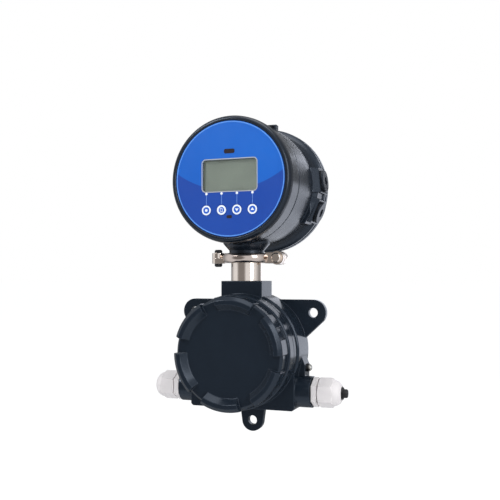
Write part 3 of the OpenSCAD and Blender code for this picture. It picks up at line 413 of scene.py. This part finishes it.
# Radius at which the round starts, how far it swells out, half its height, and the angle
# that each end keeps from the joint between the halves
CLAMP_ROUND_R = 20.4
CLAMP_SWELL = 2.9
CLAMP_HALF_H = 4.5
CLAMP_END = math.radians(4)
CLAMP_ALONG, CLAMP_ACROSS = ((64, 14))


def clamp_round(name, first):
    """Half a ring of oval section round the stem, from the angle `first`; closed at its ends."""
    bm = bmesh.new()
    rows = []
    for k in range(CLAMP_ALONG + 1):
        a = first + CLAMP_END + (math.pi - 2 * CLAMP_END) * k / CLAMP_ALONG
        row = []
        for j in range(CLAMP_ACROSS + 1):
            b = math.pi * (j / CLAMP_ACROSS - 0.5)
            r = CLAMP_ROUND_R + CLAMP_SWELL * math.cos(b)
            point = (r * math.cos(a), STEM_Y + r * math.sin(a), CLAMP_Z + CLAMP_HALF_H * math.sin(b))
            row.append(bm.verts.new(Vector(point) * MM))
        rows.append(row)
    for last, row in zip(rows, rows[1:]):
        for i in range(CLAMP_ACROSS + 1):
            j = (i + 1) % (CLAMP_ACROSS + 1)
            bm.faces.new((last[i], row[i], row[j], last[j])).smooth = True
    bm.faces.new(rows[0])
    bm.faces.new(rows[-1])
    # The rounds take the darker copy of stainless, whose darkening is painted shade
    place_shell(name, bm, clamp_steel_painted_shade, "junction_box")


clamp_round("clamp_round_front", math.pi)
clamp_round("clamp_round_rear", 0.0)


# Stage: pale floor, white surroundings, soft studio light

WHITE = (1.0, 1.0, 1.0, 1.0)
SKY = (0.92, 0.95, 1.0, 1.0)
SKY_STRENGTH = 0.88

# Direction that flat front faces mirror towards the camera, and how dark it is there.
# The edge is given as shares of the way from the opposite direction.
DARK_SIDE = (-0.36, -0.93, 0.0)
DARK_SKY = (0.26, 0.25, 0.25, 1.0)
DARK_EDGE = (0.9, 0.965)

# The far side is darker too, so that the panels behind show in the curved sides
BACK_LEVEL = 0.35
BACK_EDGE = (-0.1, 0.5)


def white_world():
    """Plain white where the camera sees it, and softly shaded where surfaces mirror it."""
    world = bpy.data.worlds.new("studio")
    bpy.context.scene.world = world
    world.use_nodes = True
    w = Wiring(world.node_tree)
    w.tree.nodes.clear()
    way = w.add("ShaderNodeTexCoord").outputs["Generated"]
    toward = w.add("ShaderNodeVectorMath", {0: way, 1: DARK_SIDE}, operation="DOT_PRODUCT")
    ramp = w.add("ShaderNodeValToRGB", {"Fac": w.ranged(toward.outputs["Value"], -1.0, 1.0)})
    for stop, share, colour in zip(ramp.color_ramp.elements, DARK_EDGE, (SKY, DARK_SKY)):
        stop.position = share
        stop.color = colour
    depth = w.add("ShaderNodeSeparateXYZ", {0: way}).outputs["Y"]
    dim = w.add("ShaderNodeVectorMath",
                {0: ramp.outputs["Color"], "Scale": w.ranged(depth, *BACK_EDGE, 1.0, BACK_LEVEL)},
                operation="SCALE")
    shine = w.add("ShaderNodeBackground", {"Color": dim.outputs["Vector"], "Strength": SKY_STRENGTH})
    seen = w.add("ShaderNodeBackground", {"Color": WHITE, "Strength": 1.0})
    ray = w.add("ShaderNodeLightPath").outputs
    direct = w.math("MAXIMUM", ray["Is Camera Ray"], ray["Is Transmission Ray"])
    mix = w.add("ShaderNodeMixShader", {0: direct, 1: shine.outputs[0], 2: seen.outputs[0]})
    w.add("ShaderNodeOutputWorld", {"Surface": mix.outputs[0]})


def pale_floor(reach=30.0, z=-0.20, shade=0.92, glow=1.15, glow_share=0.75):
    """Floor that keeps the object's shadow and, to the camera, fades into the white."""
    mesh = bpy.data.meshes.new("floor")
    corners = [(x * reach, y * reach, z) for x, y in ((-1, -1), (1, -1), (1, 1), (-1, 1))]
    mesh.from_pydata(corners, [], [(0, 1, 2, 3)])
    s = Surface("floor")
    s.set("Base Color", (shade, shade, shade, 1.0))
    s.set("Roughness", 1.0)
    s.set("Specular IOR Level", 0.0)
    light = s.add("ShaderNodeEmission", {"Strength": glow})
    seen = s.math("MULTIPLY", s.add("ShaderNodeLightPath").outputs["Is Camera Ray"], glow_share)
    mix = s.add("ShaderNodeMixShader", {0: seen, 1: s.bsdf.outputs[0], 2: light.outputs[0]})
    s.feed(s.tree.nodes["Material Output"].inputs["Surface"], mix.outputs[0])
    mesh.materials.append(s.mat)
    floor = link_object("floor", mesh)
    floor.visible_glossy = False


def soft_lamp(name, at, aim, size, power, tint=(1.0, 1.0, 1.0)):
    lamp = bpy.data.lights.new(name, "AREA")
    lamp.shape = "RECTANGLE"
    lamp.size, lamp.size_y = size
    lamp.energy = power
    lamp.color = tint
    obj = link_object(name, lamp)
    obj.location = at
    obj.rotation_euler = (Vector(aim) - Vector(at)).to_track_quat("-Z", "Y").to_euler()
    obj.visible_camera = False


MIDDLE = (0, 0, 0.07)
PANEL_TINT = (0.84, 0.88, 1.0)
white_world()
pale_floor()
soft_lamp("key_lamp", (-0.75, -1.05, 1.0), MIDDLE, size=(0.5, 0.5), power=7.0)
soft_lamp("fill_lamp", (1.1, -0.7, 0.5), MIDDLE, size=(0.5, 0.9), power=6.0)
soft_lamp("top_lamp", (0.1, 0.1, 1.3), MIDDLE, size=(0.9, 0.9), power=4.0)
soft_lamp("side_panel", (0.12, 0.42, 0.06), (0.08, 0, 0.07), size=(0.36, 0.26), power=0.33,
          tint=PANEL_TINT)
soft_lamp("upper_panel", (0.0, 0.4, 0.27), (0.05, 0, 0.19), size=(0.24, 0.1), power=0.16,
          tint=PANEL_TINT)

# Camera where the photograph was taken: to the object's right and level.
# Its lens is measured in pixels of the photograph.
TURN = math.radians(20.0)
DISTANCE, CAMERA_Z = 0.7087, 0.0687
PHOTO_W, PHOTO_LENS = 500.0, 746.0
SENSOR_W = 36.0
camera = bpy.data.cameras.new("camera")
camera.sensor_width = SENSOR_W
camera.lens = PHOTO_LENS / PHOTO_W * SENSOR_W
camera.shift_x, camera.shift_y = 0.0064, 0.054
camera.clip_start, camera.clip_end = 0.01, 100.0
eye = link_object("camera", camera)
eye.location = (DISTANCE * math.sin(TURN), STEM_Y * MM - DISTANCE * math.cos(TURN), CAMERA_Z)
eye.rotation_euler = (math.pi / 2, 0.0, TURN)
bpy.context.scene.camera = eye
bpy.context.scene.view_settings.view_transform = "Standard"
